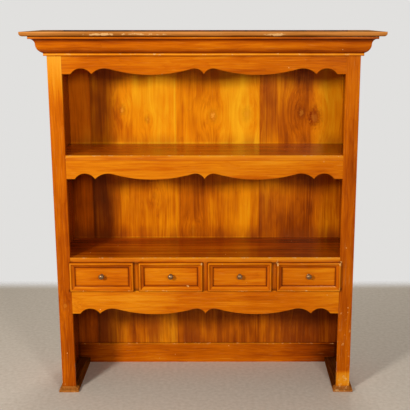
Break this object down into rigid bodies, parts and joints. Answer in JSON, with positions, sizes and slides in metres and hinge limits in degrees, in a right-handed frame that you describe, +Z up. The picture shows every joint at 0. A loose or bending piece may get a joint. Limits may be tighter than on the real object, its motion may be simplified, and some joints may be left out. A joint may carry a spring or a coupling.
{
  "type": "display hutch with drawers",
  "caption": "Open timber display hutch: shelves behind scalloped aprons, a row of lipped drawers with round knobs, a mitred crown cornice and sledge feet.",
  "frame": {"origin": "on the floor, under the middle of the cornice's box", "axes": "+Z up, +X to the right as seen from the front, the front faces -Y and the back +Y"},
  "size_m": [1.364, 0.404, 1.475],
  "materials": {
    "varnished_timber": "honey-orange gloss varnish",
    "back_timber": "honey-brown satin varnish",
    "inner_timber": "bare planed timber",
    "drawer_timber": "bare planed timber",
    "knob_metal": "aged brass"
  },
  "bodies": {
    "carcass": {"left_side": "varnished_timber", "right_side": "varnished_timber", "left_stile": "varnished_timber", "right_stile": "varnished_timber", "left_foot": "varnished_timber", "right_foot": "varnished_timber", "frieze_rail": "varnished_timber", "upper_apron": "varnished_timber", "lower_apron": "varnished_timber", "upper_shelf": "varnished_timber", "lower_shelf": "varnished_timber", "drawer_deck": "inner_timber", "top_board": "inner_timber", "muntin_1": "varnished_timber", "muntin_2": "varnished_timber", "muntin_3": "varnished_timber", "partition_1": "inner_timber", "partition_2": "inner_timber", "partition_3": "inner_timber", "drawer_guides": "inner_timber", "back_board_1": "back_timber", "back_board_2": "back_timber", "back_board_3": "back_timber", "back_board_4": "back_timber", "back_plinth_rail": "back_timber", "crown_front": "varnished_timber", "crown_left": "varnished_timber", "crown_right": "varnished_timber", "cap_front": "varnished_timber", "cap_left": "varnished_timber", "cap_right": "varnished_timber"},
    "drawer_1": {"drawer_1_front": "varnished_timber", "drawer_1_moulding": "varnished_timber", "drawer_1_left_side": "drawer_timber", "drawer_1_right_side": "drawer_timber", "drawer_1_back": "drawer_timber", "drawer_1_bottom": "drawer_timber", "drawer_1_knob": "knob_metal"},
    "drawer_2": {"drawer_2_front": "varnished_timber", "drawer_2_moulding": "varnished_timber", "drawer_2_left_side": "drawer_timber", "drawer_2_right_side": "drawer_timber", "drawer_2_back": "drawer_timber", "drawer_2_bottom": "drawer_timber", "drawer_2_knob": "knob_metal"},
    "drawer_3": {"drawer_3_front": "varnished_timber", "drawer_3_moulding": "varnished_timber", "drawer_3_left_side": "drawer_timber", "drawer_3_right_side": "drawer_timber", "drawer_3_back": "drawer_timber", "drawer_3_bottom": "drawer_timber", "drawer_3_knob": "knob_metal"},
    "drawer_4": {"drawer_4_front": "varnished_timber", "drawer_4_moulding": "varnished_timber", "drawer_4_left_side": "drawer_timber", "drawer_4_right_side": "drawer_timber", "drawer_4_back": "drawer_timber", "drawer_4_bottom": "drawer_timber", "drawer_4_knob": "knob_metal"}
  },
  "joints": [
    {"name": "drawer_1_slide", "type": "slide", "parent": "carcass", "child": "drawer_1", "axis": [0, -1, 0], "range_m": [0, 0.2]},
    {"name": "drawer_2_slide", "type": "slide", "parent": "carcass", "child": "drawer_2", "axis": [0, -1, 0], "range_m": [0, 0.2]},
    {"name": "drawer_3_slide", "type": "slide", "parent": "carcass", "child": "drawer_3", "axis": [0, -1, 0], "range_m": [0, 0.2]},
    {"name": "drawer_4_slide", "type": "slide", "parent": "carcass", "child": "drawer_4", "axis": [0, -1, 0], "range_m": [0, 0.2]}
  ]
}
